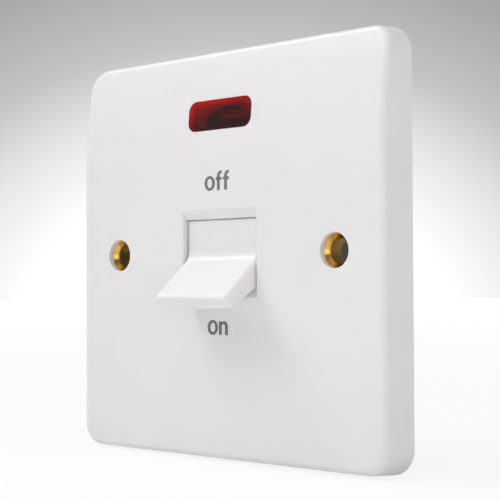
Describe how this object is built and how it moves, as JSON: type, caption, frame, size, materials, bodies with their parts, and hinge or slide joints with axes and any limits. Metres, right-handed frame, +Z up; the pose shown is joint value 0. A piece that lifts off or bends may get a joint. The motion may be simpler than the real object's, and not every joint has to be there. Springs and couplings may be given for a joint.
{
  "type": "double pole switch",
  "caption": "White single-gang double pole wall switch with a tapered lever, red neon lens, brass fixing eyelets and tunnel terminals behind.",
  "frame": {"origin": "centre of the plate, midway between the fixing holes, on the wall plane behind the plate's rim", "axes": "+X right seen from the front, +Z up, the front faces -Y and the base stands behind on +Y"},
  "size_m": [0.085, 0.0391, 0.085],
  "materials": {
    "white_moulding": "glossy moulded urea, white",
    "base_moulding": "matt moulded thermoset, charcoal",
    "cover_moulding": "matt moulded plastic, black",
    "red_lens": "clear red polycarbonate",
    "lamp_glass": "clear glass",
    "brass": "turned brass",
    "plated_steel": "zinc plated",
    "tinned_strip": "stamped brass strip",
    "lead_sleeve": "sleeved wire",
    "resistor_body": "lacquered",
    "silver": "silver alloy",
    "copper": "stamped copper",
    "plunger_moulding": "moulded nylon",
    "spring_steel": "drawn wire"
  },
  "bodies": {
    "housing": {"front_plate": "white_moulding", "fixing_eyelets": "brass", "switch_base": "base_moulding", "base_screws": "plated_steel", "terminal_screws": "plated_steel", "fixed_contact_tips": "silver", "neon_lens": "red_lens", "lamp_cover": "cover_moulding", "neon_lamp": "lamp_glass", "lamp_leads": "lead_sleeve", "series_resistor": "resistor_body", "earth_strap": "tinned_strip", "earth_terminal": "brass", "earth_terminal_screw": "plated_steel", "live_fixed_contact": "copper", "live_fulcrum_strip": "copper", "live_load_terminal": "brass", "live_supply_terminal": "brass", "neutral_fixed_contact": "copper", "neutral_fulcrum_strip": "copper", "neutral_load_terminal": "brass", "neutral_supply_terminal": "brass"},
    "lever": {"switch_lever": "white_moulding", "live_plunger_spring": "spring_steel", "neutral_plunger_spring": "spring_steel"},
    "live_plunger": {"live_plunger": "plunger_moulding"},
    "live_arm": {"live_contact_arm": "copper", "live_moving_tip": "silver"},
    "neutral_plunger": {"neutral_plunger": "plunger_moulding"},
    "neutral_arm": {"neutral_contact_arm": "copper", "neutral_moving_tip": "silver"}
  },
  "joints": [
    {"name": "lever_pivot", "type": "hinge", "parent": "housing", "child": "lever", "pos_m": [0, -0.0012, 0], "axis": [-1, 0, 0], "range_deg": [0, 69]},
    {"name": "live_arm_rock", "type": "hinge", "parent": "housing", "child": "live_arm", "pos_m": [0, 0.0124, 0], "axis": [-1, 0, 0], "range_deg": [-20, 0]},
    {"name": "neutral_arm_rock", "type": "hinge", "parent": "housing", "child": "neutral_arm", "pos_m": [0, 0.0124, 0], "axis": [-1, 0, 0], "range_deg": [-20, 0]},
    {"name": "live_plunger_slide", "type": "slide", "parent": "lever", "child": "live_plunger", "axis": [0, -0.8241, -0.5664], "range_m": [0, 0.001], "stiffness_N_per_m": 800, "springref_m": -0.002, "deforming": ["live_plunger_spring"]},
    {"name": "neutral_plunger_slide", "type": "slide", "parent": "lever", "child": "neutral_plunger", "axis": [0, -0.8241, -0.5664], "range_m": [0, 0.001], "stiffness_N_per_m": 800, "springref_m": -0.002, "deforming": ["neutral_plunger_spring"]}
  ],
  "couplings": [
    {"joint": "live_arm_rock", "follows": "lever_pivot", "ratio": -0.28985},
    {"joint": "neutral_arm_rock", "follows": "lever_pivot", "ratio": -0.28985}
  ]
}
